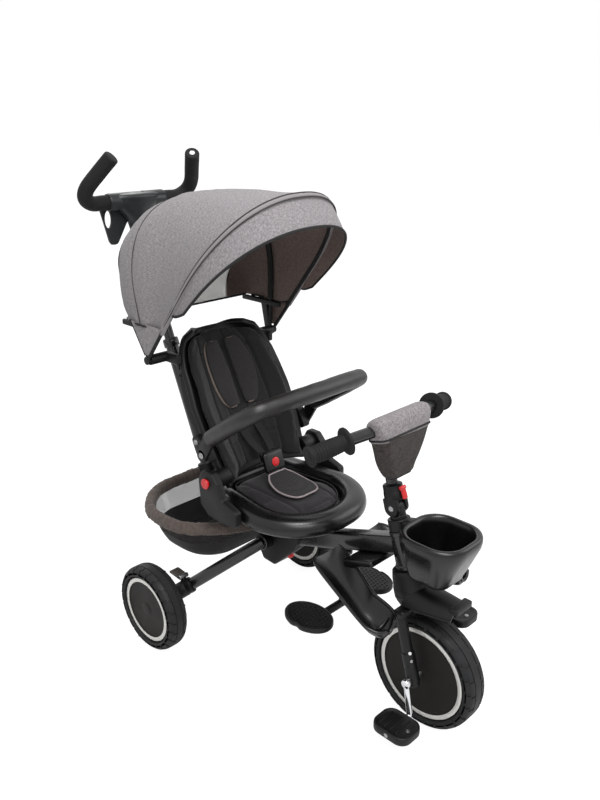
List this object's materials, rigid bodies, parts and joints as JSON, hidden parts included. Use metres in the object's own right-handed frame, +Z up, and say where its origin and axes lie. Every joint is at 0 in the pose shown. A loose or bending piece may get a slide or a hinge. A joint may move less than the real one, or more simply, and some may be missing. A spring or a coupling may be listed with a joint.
{
  "type": "folding toddler tricycle",
  "caption": "Folding push-along toddler tricycle with turning padded seat, folding hood, guard bar, foot rests, front tray, rear basket and telescopic push handle.",
  "frame": {"origin": "ground point under the middle of the tricycle's length, on its centre plane", "axes": "+Z up, -Y towards the front wheel, +X towards the rider's left"},
  "size_m": [0.5368, 1.061, 1.0745],
  "materials": {
    "painted_tube": "gloss black paint",
    "satin_plastic": "satin black, moulded",
    "gloss_plastic": "glossy black, moulded; the wheels carry a silver ring",
    "foam_tyre": "black foam rubber tread",
    "soft_grip": "matt black rubber and foam",
    "guard_cover": "black leather-look padding",
    "red_plastic": "red, moulded",
    "light_plastic": "grey, moulded",
    "chrome_steel": "chromed bar",
    "hood_fabric": "light grey mottled weave with black binding",
    "dark_fabric": "black woven cloth",
    "grey_fabric": "dark grey cloth with pale piping",
    "hub_plastic": "dark grey, moulded",
    "bow_steel": "black coated wire"
  },
  "bodies": {
    "frame": {"main_beam": "painted_tube", "centre_hub": "satin_plastic", "push_socket": "satin_plastic", "leg_rest": "gloss_plastic", "basket_rim": "grey_fabric", "basket_bag": "dark_fabric", "push_tube_lower": "painted_tube"},
    "fold_catch": {"fold_button": "red_plastic"},
    "foot_rest_arm": {"foot_rest": "satin_plastic"},
    "rear_axle_frame": {"rear_frame": "painted_tube", "rear_sleeve_right": "satin_plastic", "rear_sleeve_left": "satin_plastic"},
    "brake_right": {"brake_lever_right": "light_plastic"},
    "brake_left": {"brake_lever_left": "light_plastic"},
    "rear_roller_right": {"rear_tyre_right": "foam_tyre", "rear_wheel_right": "gloss_plastic"},
    "rear_roller_left": {"rear_tyre_left": "foam_tyre", "rear_wheel_left": "gloss_plastic"},
    "steering": {"fork": "satin_plastic", "steering_column": "satin_plastic", "fender": "satin_plastic", "tray": "satin_plastic"},
    "fork_catch": {"fork_button": "red_plastic"},
    "handlebar_assembly": {"stem_socket": "satin_plastic", "handlebar": "painted_tube", "grip_right": "soft_grip", "grip_left": "soft_grip", "handlebar_pouch": "grey_fabric"},
    "stem_catch": {"stem_lever": "red_plastic"},
    "front_roller": {"front_tyre": "foam_tyre", "front_wheel": "gloss_plastic", "crank": "chrome_steel"},
    "pedal_block_right": {"pedal_right": "satin_plastic"},
    "pedal_block_left": {"pedal_left": "satin_plastic"},
    "seat": {"seat_shell": "gloss_plastic", "seat_pad": "dark_fabric", "crotch_pad": "grey_fabric", "buckle": "gloss_plastic", "seat_bracket_right": "satin_plastic", "seat_bracket_left": "satin_plastic"},
    "recline_catch_right": {"recline_button_right": "red_plastic"},
    "recline_catch_left": {"recline_button_left": "red_plastic"},
    "buckle_catch": {"buckle_button": "red_plastic"},
    "backrest": {"backrest_shell": "satin_plastic", "backrest_pad": "dark_fabric", "harness": "grey_fabric", "back_pocket": "dark_fabric", "canopy": "hood_fabric", "canopy_clamp_right": "satin_plastic", "canopy_clamp_left": "satin_plastic", "guard_socket_right": "satin_plastic", "guard_socket_left": "satin_plastic"},
    "guard_catch_right": {"guard_button_right": "light_plastic"},
    "guard_catch_left": {"guard_button_left": "light_plastic"},
    "guard": {"guard_bar": "guard_cover"},
    "canopy_front": {"canopy_bow_front": "bow_steel", "canopy_visor": "hood_fabric"},
    "push_handle": {"push_tube_upper": "painted_tube", "push_hub": "hub_plastic", "push_grip": "soft_grip"}
  },
  "joints": [
    {"name": "fold_button_press", "type": "slide", "parent": "frame", "child": "fold_catch", "axis": [0, 0.7071, 0.7071], "range_m": [0, 0.004], "stiffness_N_per_m": 300},
    {"name": "foot_rest_fold", "type": "hinge", "parent": "frame", "child": "foot_rest_arm", "pos_m": [0, -0.1875, 0.288], "axis": [1, 0, 0], "range_deg": [0, 60]},
    {"name": "rear_frame_fold", "type": "hinge", "parent": "frame", "child": "rear_axle_frame", "pos_m": [0, 0.0225, 0.245], "axis": [1, 0, 0], "range_deg": [-75, 0]},
    {"name": "brake_press_right", "type": "hinge", "parent": "rear_axle_frame", "child": "brake_right", "pos_m": [-0.178, 0.1425, 0.163], "axis": [1, 0, 0], "range_deg": [-20, 0]},
    {"name": "brake_press_left", "type": "hinge", "parent": "rear_axle_frame", "child": "brake_left", "pos_m": [0.178, 0.1425, 0.163], "axis": [1, 0, 0], "range_deg": [-20, 0]},
    {"name": "rear_wheel_right_spin", "type": "hinge", "parent": "rear_axle_frame", "child": "rear_roller_right", "pos_m": [-0.243, 0.1725, 0.0995], "axis": [1, 0, 0], "continuous": true},
    {"name": "rear_wheel_left_spin", "type": "hinge", "parent": "rear_axle_frame", "child": "rear_roller_left", "pos_m": [0.243, 0.1725, 0.0995], "axis": [1, 0, 0], "continuous": true},
    {"name": "steering_turn", "type": "hinge", "parent": "frame", "child": "steering", "pos_m": [0, -0.4105, 0.12], "axis": [0, 0.2823, 0.9593], "range_deg": [-30, 30]},
    {"name": "fork_button_press", "type": "slide", "parent": "steering", "child": "fork_catch", "axis": [0.2079, 0.9384, -0.2762], "range_m": [0, 0.003], "stiffness_N_per_m": 300},
    {"name": "handlebar_fold", "type": "hinge", "parent": "steering", "child": "handlebar_assembly", "pos_m": [0, -0.31479, 0.44521], "axis": [1, 0, 0], "range_deg": [-70, 0]},
    {"name": "stem_lever_pull", "type": "hinge", "parent": "handlebar_assembly", "child": "stem_catch", "pos_m": [0, -0.3268, 0.4894], "axis": [1, 0, 0], "range_deg": [-25, 0], "stiffness_Nm_per_rad": 0.05},
    {"name": "front_wheel_spin", "type": "hinge", "parent": "steering", "child": "front_roller", "pos_m": [0, -0.4105, 0.12], "axis": [1, 0, 0], "continuous": true},
    {"name": "pedal_right_spin", "type": "hinge", "parent": "front_roller", "child": "pedal_block_right", "pos_m": [-0.0665, -0.4225, 0.05], "axis": [1, 0, 0], "continuous": true},
    {"name": "pedal_left_spin", "type": "hinge", "parent": "front_roller", "child": "pedal_block_left", "pos_m": [0.0665, -0.3985, 0.19], "axis": [1, 0, 0], "continuous": true},
    {"name": "seat_swivel", "type": "hinge", "parent": "frame", "child": "seat", "pos_m": [0, 0.0025, 0.322], "axis": [0, 0, 1], "range_deg": [0, 180]},
    {"name": "recline_press_right", "type": "slide", "parent": "seat", "child": "recline_catch_right", "axis": [1, 0, 0], "range_m": [0, 0.003], "stiffness_N_per_m": 300},
    {"name": "recline_press_left", "type": "slide", "parent": "seat", "child": "recline_catch_left", "axis": [-1, 0, 0], "range_m": [0, 0.003], "stiffness_N_per_m": 300},
    {"name": "buckle_press", "type": "slide", "parent": "seat", "child": "buckle_catch", "axis": [0, 0.9511, -0.309], "range_m": [0, 0.003], "stiffness_N_per_m": 300},
    {"name": "backrest_recline", "type": "hinge", "parent": "seat", "child": "backrest", "pos_m": [0, 0.0565, 0.423], "axis": [1, 0, 0], "range_deg": [-8, 0]},
    {"name": "guard_press_right", "type": "slide", "parent": "backrest", "child": "guard_catch_right", "axis": [1, 0, 0], "range_m": [0, 0.003], "stiffness_N_per_m": 300},
    {"name": "guard_press_left", "type": "slide", "parent": "backrest", "child": "guard_catch_left", "axis": [-1, 0, 0], "range_m": [0, 0.003], "stiffness_N_per_m": 300},
    {"name": "guard_swing", "type": "hinge", "parent": "backrest", "child": "guard", "pos_m": [0, 0.0825, 0.475], "axis": [1, 0, 0], "range_deg": [-40, 0]},
    {"name": "canopy_fold", "type": "hinge", "parent": "backrest", "child": "canopy_front", "pos_m": [0, 0.2205, 0.66], "axis": [1, 0, 0], "range_deg": [-45, 0], "deforming": ["canopy"]},
    {"name": "push_handle_slide", "type": "slide", "parent": "frame", "child": "push_handle", "axis": [0, 0.3955, 0.9184], "range_m": [0, 0.08]}
  ]
}
